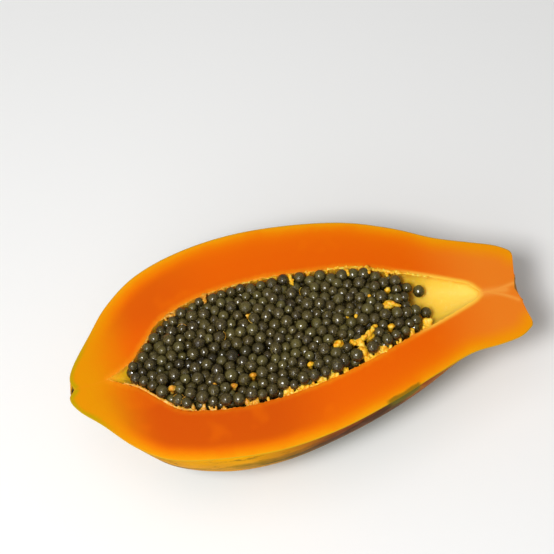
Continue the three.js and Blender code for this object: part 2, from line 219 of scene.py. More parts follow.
below = np.clip(-flat[:, 2], 0, 40)
flat[:, 1] -= np.where(is_wall, RIM_OVERHANG * close(below, 1.5) ** 2 * wide, 0) * inward
lumps = WALL_LUMPS * wobble(flat, 7, 1.7) + 0.25 * wobble(flat, 2.8, 5.2)
flat[:, 1] += np.where(is_wall, lumps * inward * np.clip(below / 3, 0, 1) * wide, 0)

# The skin swells and dips a little. A dry black scar is left of the flower, a corky one of the stalk.
from_flower, from_stalk = distance_to(FLOWER), distance_to(STALK)
skin_bumps = 0.35 * wobble(flat, 24, 2.2) + 0.12 * wobble(flat, 7, 6.6)
flat[:, 2] += np.where(is_skin & (flat[:, 2] < -3), skin_bumps * np.clip(from_stalk / 30, 0, 1), 0)
pucker = 0.7 * close(from_flower, 2.2) * (1 + 0.4 * wobble(flat, 0.9, 4.4))
flat[:, 0] -= np.where(is_skin, pucker, 0)
corky_ring = 0.7 * close(np.abs(from_stalk - 8.2), 1.8)
stalk_dimple = 0.9 * close(from_stalk, 7) ** 0.5
flat[:, 0] += np.where(is_skin & (flat[:, 0] > 255), corky_ring - stalk_dimple, 0)

# The pale strands in the cut: three that run from the hollow to the stalk, and a faint one to the
# flower. Each is start, bend and end, as X and Y, and a width.
STRANDS = [
    ((242, 2.4), (251, 1.0), (262.6, 3.4), 1.2), ((242, 2.2), (253, 0.4), (262.4, -7.6), 1.1),
    ((240, 2.3), (248, 1.7), (257, 0.6), 2.2), ((21, 0.8), (12, 0.7), (1, 0.2), 0.7),
]
strand = np.zeros(len(flat))
share = np.linspace(0, 1, 60)[:, None]
for start, bend, end, width in STRANDS:
    line = np.array(start) * (1 - share) ** 2 + 2 * np.array(bend) * share * (1 - share)
    line = line + np.array(end) * share * share
    strand = np.maximum(strand, np.exp(-((nearest(flat[:, :2], line) / width) ** 2)))

laid = flat @ np.array(LYING.to_3x3()).T * 0.001 + np.array(LYING.translation)
laid[:, 2] = np.maximum(laid[:, 2], 0)

bpy.ops.mesh.primitive_grid_add(x_subdivisions=around - 1, y_subdivisions=station_count - 1, size=0.1)
flesh = bpy.context.object
flesh.name = flesh.data.name = "papaya_flesh"
flesh.data.vertices.foreach_set("co", laid.ravel())
for name, values in {
    "from_skin": from_skin,
    "from_rim": np.where(is_wall, below, from_rim),
    "strand": strand * is_cut,
    # The flower scar's black, drawn out down the skin below the cut, where it is painted shade in the
    # notch.
    "flower_scar_and_notch_shade": np.clip(1.6 - distance_to(FLOWER, (1, 1.1, 0.3)) / 2.2, 0, 1),
    "stalk_scar": np.where(is_skin, np.clip(1.6 - from_stalk / 9, 0, 1), 0),
    "round_back": np.where(is_skin, below, 0),
}.items():
    flesh.data.attributes.new(name, "FLOAT", "POINT").data.foreach_set("value", values.astype(np.float32))
strip = np.arange(around - 1)
slots = np.select([strip < near_from - 1, (strip >= hollow_from) & (strip < far_from - 1)], [0, 2], 1)
flesh.data.polygons.foreach_set("material_index", np.tile(slots, station_count - 1))
bpy.ops.object.mode_set(mode="EDIT")
bpy.ops.mesh.select_all(action="SELECT")
bpy.ops.mesh.remove_doubles(threshold=2e-6)
bpy.ops.mesh.normals_make_consistent(inside=False)
bpy.ops.object.mode_set(mode="OBJECT")
bpy.ops.object.shade_smooth_by_angle(angle=math.radians(50))


def rgb(red, green, blue):
    """A colour as mixed by eye, on the scale 0 to 255, for a shader's socket."""
    parts = (red, green, blue)
    return (*(((c / 255 + 0.055) / 1.055) ** 2.4 if c > 10 else c / 3295 for c in parts), 1)


class Finish:
    """A material under construction: each call adds a node, and wires what it is given into it."""

    def __init__(self, name, **principled):
        self.material = bpy.data.materials.new(name)
        self.material.use_nodes = True
        self.tree = self.material.node_tree
        self.shader = self.tree.nodes["Principled BSDF"]
        for socket, value in principled.items():
            self.shader.inputs[socket.replace("_", " ")].default_value = value
        self.place = self.tree.nodes.new("ShaderNodeTexCoord").outputs["Object"]

    def wire(self, socket, value):
        if isinstance(value, bpy.types.NodeSocket):
            self.tree.links.new(value, socket)
        else:
            socket.default_value = value

    def attribute(self, name):
        made = self.tree.nodes.new("ShaderNodeAttribute")
        made.attribute_name = name
        return made.outputs["Fac"]

    def sum(self, operation, a, b, clamp=False):
        made = self.tree.nodes.new("ShaderNodeMath")
        made.operation, made.use_clamp = operation, clamp
        self.wire(made.inputs[0], a)
        self.wire(made.inputs[1], b)
        return made.outputs[0]

    def along(self, axis):
        made = self.tree.nodes.new("ShaderNodeSeparateXYZ")
        self.wire(made.inputs[0], self.place)
        return made.outputs[axis]

    def fade(self, value, start, end, low=0.0, high=1.0):
        """low where value is start, high where it is end, with a soft turn at both."""
        made = self.tree.nodes.new("ShaderNodeMapRange")
        made.interpolation_type = "SMOOTHSTEP"
        for socket, given in zip(made.inputs, (value, start, end, low, high)):
            self.wire(socket, given)
        return made.outputs[0]

    def mottle(self, size, detail=3.0, roughness=0.55, stretch=(1, 1, 1), warp=0.0):
        """Noise with patches of about that size in mm, longer along the axes stretched."""
        turn = self.tree.nodes.new("ShaderNodeMapping")
        turn.inputs["Scale"].default_value = tuple(1000 / size / s for s in stretch)
        self.wire(turn.inputs["Vector"], self.place)
        made = self.tree.nodes.new("ShaderNodeTexNoise")
        self.wire(made.inputs["Vector"], turn.outputs[0])
        settings = {"Scale": 1, "Detail": detail, "Roughness": roughness, "Distortion": warp}
        for socket, value in settings.items():
            made.inputs[socket].default_value = value
        return made.outputs["Fac"]

    def away(self, centre, reach):
        """Distance from a place, in metres in the frame, as a share of its reach along each axis."""
        shift = self.tree.nodes.new("ShaderNodeMapping")
        shift.inputs["Location"].default_value = tuple(-c / r for c, r in zip(centre, reach))
        shift.inputs["Scale"].default_value = tuple(1 / r for r in reach)
        self.wire(shift.inputs["Vector"], self.place)
        made = self.tree.nodes.new("ShaderNodeVectorMath")
        made.operation = "LENGTH"
        self.wire(made.inputs[0], shift.outputs[0])
        return made.outputs["Value"]

    def ramp(self, value, stops):
        made = self.tree.nodes.new("ShaderNodeValToRGB")
        made.color_ramp.interpolation = "B_SPLINE" if len(stops) > 4 else "EASE"
        elements = made.color_ramp.elements
        while len(elements) < len(stops):
            elements.new(0.5)
        for element, (position, colour) in zip(elements, stops):
            element.position, element.color = position, colour
        self.wire(made.inputs[0], value)
        return made.outputs[0]

    def blend(self, share, a, b, mode="MIX"):
        made = self.tree.nodes.new("ShaderNodeMix")
        made.data_type, made.blend_type = "RGBA", mode
        self.wire(made.inputs["Factor"], share)
        self.wire(made.inputs["A"] if made.inputs["A"].type == "RGBA" else made.inputs[6], a)
        self.wire(made.inputs["B"] if made.inputs["B"].type == "RGBA" else made.inputs[7], b)
        return made.outputs[2]

    def relief(self, height, depth_mm, strength=1.0, layer="Normal"):
        made = self.tree.nodes.new("ShaderNodeBump")
        made.inputs["Strength"].default_value = strength
        made.inputs["Distance"].default_value = depth_mm / 1000
        self.wire(made.inputs["Height"], height)
        self.wire(self.shader.inputs[layer], made.outputs[0])

    def colour(self, value):
        self.wire(self.shader.inputs["Base Color"], value)

    def roughness(self, value):
        self.wire(self.shader.inputs["Roughness"], value)


# Waxy skin: gold where it is ripe, still green in long clouds and fine flecks, most of all on the back.
skin = Finish("papaya_skin", Specular_IOR_Level=0.03)
clouds = skin.mottle(36, detail=3, stretch=(2.6, 1, 1), warp=0.5)
flecks = skin.mottle(3.6, detail=5, roughness=0.7, stretch=(2.6, 1, 1))
unripe = skin.sum("ADD", skin.sum("MULTIPLY", skin.fade(skin.attribute("round_back"), 2, 56), 0.3), clouds)
unripe = skin.sum("ADD", unripe, skin.sum("MULTIPLY", skin.sum("SUBTRACT", flecks, 0.5), 0.3))
golden = skin.blend(skin.mottle(13, detail=4), rgb(246, 170, 0), rgb(206, 140, 0))
# Painted shade: a dark reddish brown on the near belly under the edge of the cut, past the middle, where
# the skin turns away from the light.
ruddy_painted_shade = skin.blend(skin.mottle(9, detail=4, stretch=(2.5, 1, 1)), rgb(176, 78, 4), rgb(124, 62, 6))
patchy = skin.fade(skin.mottle(20, detail=4, stretch=(2.2, 1, 1)), 0.35, 0.5, 0.55, 1)
# Where the painted shade falls: the near side, past the middle, high up below the cut.
shade_by_near_cut = skin.fade(skin.along("X"), -0.05, 0.01)
shade_by_near_cut = skin.sum("MULTIPLY", shade_by_near_cut, skin.fade(skin.along("X"), 0.1, 0.06, 0.25, 1))
shade_by_near_cut = skin.sum("MULTIPLY", shade_by_near_cut, skin.fade(skin.along("Z"), 0.025, 0.055))
shade_by_near_cut = skin.sum("MULTIPLY", shade_by_near_cut, skin.fade(skin.along("Y"), 0.0, -0.02))
golden = skin.blend(skin.sum("MULTIPLY", shade_by_near_cut, patchy), golden, ruddy_painted_shade)
# Where it is unripe, the gold turns green.
ripening = skin.ramp(
    unripe,
    [
        (0.5, rgb(255, 255, 255)), (0.6, rgb(206, 214, 90)), (0.7, rgb(136, 164, 50)),
        (0.84, rgb(84, 128, 44)),
    ],
)
shade = skin.blend(1.0, golden, ripening, "MULTIPLY")
bruised = skin.fade(skin.mottle(6, detail=5, roughness=0.7, stretch=(3, 1, 1)), 0.56, 0.7, 0, 0.7)
shade = skin.blend(bruised, shade, rgb(112, 84, 8))
# One olive patch at the near edge, and the two scars; the flower scar's black runs far down the skin as
# painted shade in its notch.
torn_outline = skin.sum("MULTIPLY", skin.mottle(7, detail=4, roughness=0.65, stretch=(1.6, 1, 1)), 1.6)
patch = skin.sum("ADD", skin.away((0.049, -0.0545, 0.067), (0.014, 0.012, 0.013)), torn_outline)
shade = skin.blend(skin.fade(patch, 1.95, 1.35, 0, 0.95), shade, rgb(112, 102, 10))
shade = skin.blend(skin.attribute("stalk_scar"), shade, rgb(186, 122, 44))
skin.colour(skin.blend(skin.attribute("flower_scar_and_notch_shade"), shade, rgb(22, 15, 9)))
skin.roughness(skin.fade(flecks, 0.3, 0.75, 0.5, 0.64))
skin.relief(skin.sum("ADD", flecks, skin.sum("MULTIPLY", clouds, 2)), 0.25, 0.5)

# Cut flesh: moist and smooth, gold under the skin and at the blossom end, deep orange further in.
cut = Finish(
    "cut_flesh", Specular_IOR_Level=0.06, Subsurface_Weight=0.12, Subsurface_Radius=(1.0, 0.3, 0.05),
    Subsurface_Scale=0.003,
)
soft = cut.sum("SUBTRACT", cut.mottle(22, detail=2), 0.5)
depth_in = cut.sum("ADD", cut.attribute("from_skin"), cut.sum("MULTIPLY", soft, 3.5))
body = cut.ramp(
    cut.sum("DIVIDE", depth_in, 20.0),
    [
        (0.0, rgb(236, 158, 8)), (0.1, rgb(240, 148, 3)), (0.2, rgb(238, 130, 0)),
        (0.36, rgb(236, 110, 0)), (0.58, rgb(233, 102, 1)), (1.0, rgb(231, 97, 1)),
    ],
)
# Redder along the near side and at the far left.
near_side = cut.fade(cut.along("Y"), -0.003, -0.019, 0, 0.7)
near_side = cut.sum("MULTIPLY", near_side, cut.fade(cut.along("X"), 0.02, -0.03))
body = cut.blend(cut.sum("MULTIPLY", near_side, cut.fade(depth_in, 4, 11)), body, rgb(198, 74, 4))
far_left = cut.fade(cut.along("Y"), 0.01, 0.035, 0, 0.5)
far_left = cut.sum("MULTIPLY", far_left, cut.fade(cut.along("X"), -0.03, -0.08))
body = cut.blend(cut.sum("MULTIPLY", far_left, cut.fade(depth_in, 5, 12)), body, rgb(204, 80, 6))
body = cut.blend(cut.fade(soft, 0.04, 0.2, 0, 0.3), body, rgb(238, 112, 0))
# Paler at the neck, gold at the blossom end with a greenish edge.
neck = cut.blend(cut.fade(depth_in, 2, 12), rgb(240, 148, 4), rgb(238, 132, 34))
body = cut.blend(cut.fade(cut.along("X"), 0.07, 0.12, 0, 0.8), body, neck)
tip_edge = cut.sum("ADD", cut.along("X"), cut.sum("MULTIPLY", soft, 0.012))
body = cut.blend(cut.fade(tip_edge, -0.088, -0.126), body, rgb(224, 142, 0))
green_edge = cut.sum("MULTIPLY", cut.fade(depth_in, 3.6, 0.3), cut.fade(cut.along("X"), -0.11, -0.128))
body = cut.blend(cut.sum("MULTIPLY", green_edge, 0.85), body, rgb(176, 156, 0))
# The olive patch runs a little into the cut.
by_the_edge = cut.fade(cut.sum("ADD", depth_in, cut.sum("MULTIPLY", cut.mottle(4), 2)), 4.2, 2.6)
bruise = cut.fade(cut.away((0.049, -0.0545, 0.0655), (0.0125, 0.014, 0.01)), 1.0, 0.75, 0, 0.85)
bruise = cut.sum("MULTIPLY", bruise, by_the_edge)
# A soft golden band round the hollow, which is widest at the bare end.
ragged_rim = cut.sum("ADD", cut.attribute("from_rim"), cut.sum("MULTIPLY", cut.mottle(3, detail=3), 2.4))
rim_band = cut.sum("MULTIPLY", cut.fade(ragged_rim, 5.4, 1.4, 0, 0.7), cut.fade(near_side, 0, 0.7, 1, 0.4))
body = cut.blend(rim_band, body, rgb(240, 142, 16))
body = cut.blend(cut.fade(ragged_rim, 2.0, 1.1, 0, 0.8), body, rgb(250, 176, 56))
soft_edge = cut.fade(cut.attribute("from_rim"), 3.2, 0)
soft_edge = cut.sum("MULTIPLY", soft_edge, cut.fade(cut.along("X"), 0.06, 0.08))
body = cut.blend(soft_edge, body, rgb(255, 200, 72))
pale_strand = cut.blend(cut.fade(cut.along("X"), -0.1, 0.1), rgb(226, 138, 6), rgb(250, 168, 70))
body = cut.blend(cut.sum("MULTIPLY", cut.attribute("strand"), 0.6), body, pale_strand)
body = cut.blend(cut.fade(cut.attribute("from_skin"), 0.8, 0.25, 0, 0.85), body, rgb(196, 156, 24))
cut.colour(cut.blend(bruise, body, rgb(132, 100, 14)))
moist = cut.mottle(1.6, detail=3, roughness=0.55)
cut.roughness(cut.fade(moist, 0.3, 0.7, 0.38, 0.52))
cut.relief(moist, 0.1, 0.4)

# Lining: soft, spongy and yellow, deeper gold towards the rim.
lining = Finish(
    "hollow_lining", Roughness=0.5, Specular_IOR_Level=0.15, Subsurface_Weight=0.6,
    Subsurface_Radius=(1.0, 0.6, 0.2), Subsurface_Scale=0.006,
)
sponge = lining.mottle(2.4, detail=5, roughness=0.6)
# Darker gold beside the seeds, a painted warm shade where the lining lies in their shadow; cream at the
# bare end, deeper gold again at the blossom end.
cream = lining.blend(lining.mottle(9, detail=3), rgb(253, 182, 46), rgb(250, 170, 36))
cream = lining.blend(lining.fade(lining.along("X"), 0.06, 0.084), cream, rgb(255, 204, 62))
cream = lining.blend(lining.fade(lining.along("X"), 0.074, 0.104, 0, 0.8), cream, rgb(255, 212, 94))
cream = lining.blend(lining.fade(lining.along("X"), -0.06, -0.09), cream, rgb(255, 190, 30))
cream = lining.blend(lining.fade(lining.attribute("from_rim"), 3.0, 0.3, 0, 0.7), cream, rgb(250, 170, 36))
lining.colour(lining.blend(lining.fade(sponge, 0.5, 0.8, 0, 0.3), cream, rgb(255, 234, 140)))
lining.relief(sponge, 0.4, 0.5)

for finish in (skin, cut, lining):
    flesh.data.materials.append(finish.material)
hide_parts("flesh_and_skin")
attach(flesh, "root")

# Seeds. Each is a black ridged seed in a clear wet skin, and they lie packed in the hollow in two
# banks, with a furrow between them where the seeds are painted dark as shade. The ones in sight stand where
# the frame's own seeds stand.
# The nubs of the placenta at the far and the near rim: place along X, reach in from the wall, radius.
FAR_NUBS = [
    (61.5, 2.6, 1.1), (66.5, 3.4, 1.3), (85.5, 5, 1.9), (89.5, 3, 1.4), (97, 2.4, 1.4), (108, 1.6, 1),
    (120, 1.7, 1), (129, 1.8, 1), (137.5, 6, 1.5), (148, 3, 1.4), (159, 1.8, 1.1), (170, 4, 2),
    (182, 4.4, 2.6), (193, 2.5, 1.4),
]
NEAR_NUBS = [
    (52, 2.2, 1), (63.5, 4, 1.4), (69.5, 4.2, 1.4), (80, 1.8, 1), (94.5, 3.6, 1.7), (99.5, 3.4, 1.5),
    (106.5, 2, 1.1), (118, 3.8, 2.2), (126.5, 4, 2.4), (133, 2, 1.2), (138.5, 3.8, 2.2), (145.5, 4.4, 2.6),
    (153, 2.6, 1.3), (168, 5, 2.2), (173.5, 2.8, 1.2), (178.5, 4.6, 2.4), (188, 2.4, 1.2), (197, 3.6, 2),
    (206.5, 4.4, 2.6),
]
NUB_DEPTH = 0.6
# Where soft tissue shows between the seeds: x, y, radius.
BARE_SPOTS = [
    (209.5, 8.6, 4.6), (188, 7.2, 3), (193, 4.7, 1.5), (190, 16.4, 1.8), (176.5, -4.8, 1.5),
    (185.5, -6.7, 1.8), (153.5, -10, 2.6), (161.5, -11, 1.8), (171.5, -9, 2.8), (166, -16, 2.6),
    (134.5, -18.5, 1.6), (107, 20, 1), (101, -17, 1.8), (89, -20.5, 1.8), (54.5, -13.5, 2),
]
# The loose seeds at the bare end of the hollow: x, y, radius.
LOOSE_SEEDS = [
    (209, 16.6, 3.4), (202, 17, 3.2), (198.2, 10.4, 3.1), (209.2, 0.4, 3.3), (202.8, 1.4, 3.3),
    (197, 0.2, 3.5), (201.2, -4.8, 3.2),
]
SEED_RADIUS = 2.7, 3.9
SEED_PITCH, SEED_JITTER = 6.5, 1.8
SEED_LIFT = -2.2, 1  # how far a seed lies under or over the bed
SEED_SQUEEZE, SEED_HEAVE = 1, 1  # how near two seeds come, in radii, and how far one is pushed up
SEED_WALL_GAP, SEED_STANDOFF, SEED_CLEARANCE, SEED_LEAN = 0.6, 2.6, 0.6, 0.5
SETTLING_PASSES = 40
SEED_START, SEED_END = 36, 211
# The rows along the rims: how long before the end of the seeds they stop, and the step in radii.
FAR_ROW_END, NEAR_ROW_END = 15, 11
RIM_STEP = 1.6, 0.6
# The bed between them: its rows, places in a row, distance from the rims, and where it stops.
BED_ROWS, BED_PLACES, BED_WALL_GAP = (-8, 10), 33, 7.2
BED_END = 12, 6
FURROW_DEPTH, FURROW_WIDTH = 3.6, 4.5
HEAP_HEIGHT, RIM_HEIGHT = 2.8, -0.2
RUN_DOWN, RUN_DOWN_LENGTH = 10, 26
LOWER_SEEDS = 3.4  # how far the layer below lies under the seeds in sight
LOWER_PASSES = 14
LONG_BY, WIDE_BY = (1.1, 0.12), (1.02, 0.08)  # how much longer and wider than its ball a seed is

drawn = 20260


def draw():
    """Whole numbers only, so that every run draws the same seeds."""
    global drawn
    drawn = drawn * 16807 % 2147483647
    return drawn / 2147483647


def between(low, high):
    return low + (high - low) * draw()


def nub_places():
    places = []
    for side, nubs in ((1, FAR_NUBS), (-1, NEAR_NUBS)):
        for x, reach, radius in nubs:
            far, near, depth = hollow_at(x)
            places.append((x, far if side > 0 else near, -NUB_DEPTH - radius, side, reach, radius))
    return places


def bed_height(x, y):
    """Height of the seeds' middles over the cut."""
    far, near, depth = hollow_at(x)
    across = (2 * y - far - near) / (far - near)
    bank = HEAP_HEIGHT * (1 - across * across)
    furrow_line = y / FURROW_WIDTH
    furrow_fade = max(0, 1 - abs(x - 88) / 62)
    furrow = (FURROW_DEPTH * furrow_fade) / (1 + furrow_line * furrow_line)
    past = max(0, x - SEED_END + RUN_DOWN_LENGTH) / RUN_DOWN_LENGTH
    return RIM_HEIGHT + bank - furrow - RUN_DOWN * past * past


def seed_places(nubs, above=()):
    """Where each seed lies, along both rims and in the bed between them, or in the layer below those.

    Each is [x, y, z, radius, lift, side, gap to the wall, place held].
    """
    seeds = []
    drop = LOWER_SEEDS if above else 0.0
    for x, y, radius in () if above else LOOSE_SEEDS:
        seed = [x, y, bed_height(x, y), radius, 0, 0, SEED_WALL_GAP, None]
        hold_in_hollow(seed)
        seeds.append(seed[:7] + [seed[:3]])
    for side in (1, -1):
        x = SEED_START + 2
        while x < SEED_END - (FAR_ROW_END if side > 0 else NEAR_ROW_END):
            radius = between(*SEED_RADIUS)
            far, near, depth = hollow_at(x)
            y = far - radius if side > 0 else near + radius
            lift = between(*SEED_LIFT) / 2
            gap = SEED_WALL_GAP + SEED_STANDOFF * draw() * draw()
            seeds.append([x, y, bed_height(x, y) + lift - drop, radius, lift, side, gap, None])
            x += radius * (RIM_STEP[0] + RIM_STEP[1] * draw())
    row_pitch = SEED_PITCH * 0.866
    for row in range(*BED_ROWS):
        for place in range(BED_PLACES):
            x = SEED_START + (place + (row & 1) / 2) * SEED_PITCH + SEED_JITTER * (2 * draw() - 1)
            y = row * row_pitch + SEED_JITTER * (2 * draw() - 1)
            radius = between(*SEED_RADIUS)
            lift = between(*SEED_LIFT)
            end = SEED_END - BED_END[0] - BED_END[1] * draw()
            if x > end or x < SEED_START:
                continue
            far, near, depth = hollow_at(x)
            if y > far - BED_WALL_GAP or y < near + BED_WALL_GAP:
                continue
            seeds.append([x, y, bed_height(x, y) + lift - drop, radius, lift, 0, SEED_WALL_GAP, None])
    for _ in range(LOWER_PASSES if above else SETTLING_PASSES):
        settle(seeds, nubs, drop)
        for seed in seeds:
            for other in above:
                hold_off(seed, *other[:3], 0.8 * other[3] - 0.2 * seed[3])
    return seeds


def settle(seeds, nubs, drop):
    """One pass: neighbours push each other apart, and the bed, the wall and the nubs hold them."""
    for i, a in enumerate(seeds):
        for b in seeds[i + 1 :]:
            dx = b[0] - a[0]
            reach = (a[3] + b[3]) * SEED_SQUEEZE
            if dx > reach or dx < -reach:
                continue
            dy, dz = b[1] - a[1], b[2] - a[2]
            square = dx * dx + dy * dy + dz * dz
            if square >= reach * reach:
                continue
            distance = math.sqrt(square)
            push = (reach - distance) / 2 / distance
            a[0] -= dx * push
            a[1] -= dy * push
            a[2] -= dz * push
            b[0] += dx * push
            b[1] += dy * push
            b[2] += dz * push
    for seed in seeds:
        seed[2] += (bed_height(seed[0], seed[1]) + seed[4] - drop - seed[2]) * 0.25
        seed[1] += seed[5] * SEED_LEAN
        for x, y, radius in BARE_SPOTS:
            hold_off(seed, x, y, seed[2], radius)
        hold_in_hollow(seed)
        for x, y, z, side, reach, radius in nubs:
            hold_off(seed, x, y, z, radius + SEED_CLEARANCE)
            hold_off(seed, x, y - side * reach * 0.6, z + reach * 0.2, radius * 0.8 + SEED_CLEARANCE)
        seed[2] = min(seed[2], bed_height(seed[0], seed[1]) - drop + SEED_HEAVE)
        if seed[7]:
            seed[:3] = seed[7]


def hold_off(seed, x, y, z, clear):
    """Moves a seed away from a place until it is that far clear of it."""
    dx, dy, dz = seed[0] - x, seed[1] - y, seed[2] - z
    reach = seed[3] + clear
    square = dx * dx + dy * dy + dz * dz
    if square >= reach * reach:
        return
    push = reach / math.sqrt(square) - 1
    seed[0] += dx * push
    seed[1] += dy * push
    seed[2] += dz * push


def hold_in_hollow(seed):
    seed[0] = min(max(seed[0], SEED_START), SEED_END)
    wall, before, after = (hollow_at(seed[0] + step) for step in (0, -1, 1))
    slopes = [(b - a) / 2 for a, b in zip(before, after)]
    off = [(seed[3] + seed[6]) * math.sqrt(1 + slope * slope) for slope in slopes]
    far, near = wall[0] - off[0], wall[1] + off[1]
    middle = (far + near) / 2
    room = (far - near) / 2
    room_below = wall[2] - off[2]
    across = (seed[1] - middle) / room
    down = seed[2] / room_below if seed[2] < 0 else 0
    share = math.sqrt(across * across + down * down)
    if share <= 1:
        return
    seed[1] = middle + (seed[1] - middle) / share
    if seed[2] < 0:
        seed[2] /= share


nubs = nub_places()
top_seeds = seed_places(nubs)
low_seeds = seed_places([], top_seeds)

bpy.ops.mesh.primitive_ico_sphere_add(subdivisions=2, radius=1)
one_seed = bpy.context.object
one_seed.name = "papaya_seeds"
bpy.ops.object.shade_smooth()
for name in ("seed_painted_light", "seed_tint", "seed_shade_and_tone"):
    one_seed.data.attributes.new(name, "FLOAT", "POINT")
ball = np.empty(len(one_seed.data.vertices) * 3)
one_seed.data.vertices.foreach_get("co", ball)
ball = ball.reshape(-1, 3)
lying = np.array(LYING.to_3x3())
copies = []
for x, y, z, radius, *_ in top_seeds + low_seeds:
    turn = np.array(
        (Matrix.Rotation(6.2832 * draw(), 3, "X") @ Matrix.Rotation(6.2832 * draw(), 3, "Z")).to_3x3()
    )
    long, wide = LONG_BY[0] + LONG_BY[1] * draw(), WIDE_BY[0] + WIDE_BY[1] * draw()
    shape = ball * (wide, wide, long) @ turn.T * radius
    copy = one_seed.copy()
    copy.data = one_seed.data.copy()
    points = (shape + (x, y, z)) @ lying.T * 0.001 + np.array(LYING.translation)
    copy.data.vertices.foreach_set("co", points.ravel())
    # Painted light: how high each point sits on its seed, tipped a little to the far side and the blossom
    # end; the top is painted paler, the sides dark.
    top = (shape[:, 2] + 0.25 * shape[:, 1] - 0.15 * shape[:, 0]) / radius
    # Painted shade on the seeds in the furrow and on those lying deep under the bed, with a darker tone
    # towards the blossom end.
    in_furrow = max(0, 1 - abs(x - 88) / 62) / (1 + (y / 3) ** 2)
    shade_and_tone = in_furrow + max(0, bed_height(x, y) - z - 2.5) / 6 + 0.35 * max(0, 1 - x / 110)
    for name, value in {"seed_painted_light": top, "seed_tint": draw(), "seed_shade_and_tone": shade_and_tone}.items():
        values = (np.zeros(len(ball)) + value).astype(np.float32)
        copy.data.attributes[name].data.foreach_set("value", values)
    bpy.context.collection.objects.link(copy)
    copies.append(copy)
bpy.data.objects.remove(one_seed)
bpy.ops.object.select_all(action="DESELECT")
for copy in copies:
    copy.select_set(True)
bpy.context.view_layer.objects.active = copies[0]
bpy.ops.object.join()
seeds = bpy.context.object
seeds.name = seeds.data.name = "papaya_seeds"

# Wet seed: olive black to brown, with painted light: paler on top, near black down the sides and
# underneath.
wet_seed = Finish(
    "wet_seed", Roughness=0.6, Specular_IOR_Level=0.0, Coat_Weight=1.0, Coat_Roughness=0.03, Coat_IOR=1.55
)
tint = wet_seed.attribute("seed_tint")
ridges = wet_seed.mottle(1.4, detail=4, roughness=0.65, warp=1.8)
hue = wet_seed.ramp(
    tint,
    [
        (0.0, rgb(44, 32, 22)), (0.3, rgb(84, 74, 32)), (0.5, rgb(54, 40, 27)), (0.75, rgb(102, 94, 43)),
        (1.0, rgb(38, 25, 23)),
    ],
)
lit_top_and_ridges = wet_seed.sum("ADD", wet_seed.attribute("seed_painted_light"), wet_seed.sum("MULTIPLY", ridges, 0.9))
# Painted shade: low on the seed it goes near black, on top it is paler.
gel_and_painted_shade = wet_seed.blend(wet_seed.fade(lit_top_and_ridges, 0.35, 1.5), rgb(22, 17, 5), hue)
gel_and_painted_shade = wet_seed.blend(wet_seed.fade(ridges, 0.5, 0.66, 0, 0.6), gel_and_painted_shade, rgb(136, 122, 66))
# Painted shade: the seeds in the furrow and deep in the bed go towards near black, and those at the blossom
# end a little darker.
in_shade = wet_seed.fade(wet_seed.attribute("seed_shade_and_tone"), 0.1, 1, 0, 0.7)
wet_seed.colour(wet_seed.blend(in_shade, gel_and_painted_shade, rgb(16, 12, 8)))
wet_seed.relief(ridges, 0.3, 0.4)
wet_seed.relief(wet_seed.mottle(2.2, detail=2.5), 0.5, 0.55, "Coat Normal")
seeds.data.materials.append(wet_seed.material)
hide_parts("seeds")
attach(seeds, "root")

# Placenta. The soft yellow tissue that the seeds hung from. The knife tore it, and left nubs of it
# along both rims with a ragged fringe between them, and lumps and pale threads among the seeds.
NUB_ROOT, NUB_LEAN = 2.4, 0.3
FRINGE_FROM, FRINGE_TO, FRINGE_STEP = 33, 214, 0.5
TEAR_LIMIT, SPARSE_TEAR_LIMIT = 0.05, 0.42  # how torn the rim has to be to carry a fringe
# Welts along a rim: side, from and to along X, how far they stand in, radius.
WELTS = [(1, 160, 216, -0.1, 0.95), (-1, 29, 64, 0.5, 0.85)]
# Threads round a seed: the seed's x and y, and the arc in degrees.
THREADS = [
    (71, 19, 20, 150), (89, 9, -80, 100), (107, 20, 110, 250), (146, 30, 120, 260), (58, -22, 0, 140),
    (65, -24, 60, 190),
]
# Strips of tissue over the seeds: from x, y to x, y, and radius.
BRIDGES = [
    (166, -19.5, 166, -14, 2.2), (166, -14, 161, -11, 1.8), (164, -12.5, 171.5, -9, 1.9),
    (171.5, -9, 175.5, -6, 1.5), (153.5, -10, 150, -14, 1.5), (188, 7.2, 192, 5, 1.5),
    (137, 39.5, 137.5, 33, 1.1), (85.5, 39.5, 85.5, 35, 1.4), (182, 33, 182, 29.5, 1.9),
    (170, 34.5, 170, 31.5, 1.6), (62, 31.5, 66.5, 31, 1.0),
]
# Small lumps between the seeds: x, y, radius.
LUMP_BITS = [
    (50, -4, 1.2), (78.5, -17.8, 1.3), (90, -13, 1.4), (125, -15, 1.5), (78, 11.2, 1.5),
    (61.5, 14, 1.2), (163, 5, 1.2), (167.5, 3.5, 1.2), (178.5, 14.5, 1), (72, -22, 1.2),
    (148, 24, 0.9), (112, -24, 1.2),
]
TISSUE_FINENESS = 0.28  # mm
shake = np.random.default_rng(11)
beads = []


def string(start, end, thick, thin, waver):
    """A string of overlapping beads that gets thinner and wavers on its way."""
    start, end = np.array(start, float), np.array(end, float)
    count = max(3, int(np.linalg.norm(end - start) / (0.4 * thin)) + 1)
    drift = np.zeros(3)
    for step in range(count):
        share = step / (count - 1)
        drift = drift * 0.7 + shake.normal(0, waver, 3)
        radius = (thick + (thin - thick) * share) * shake.uniform(0.85, 1.15)
        beads.append((*(start + (end - start) * share + drift * share), radius))


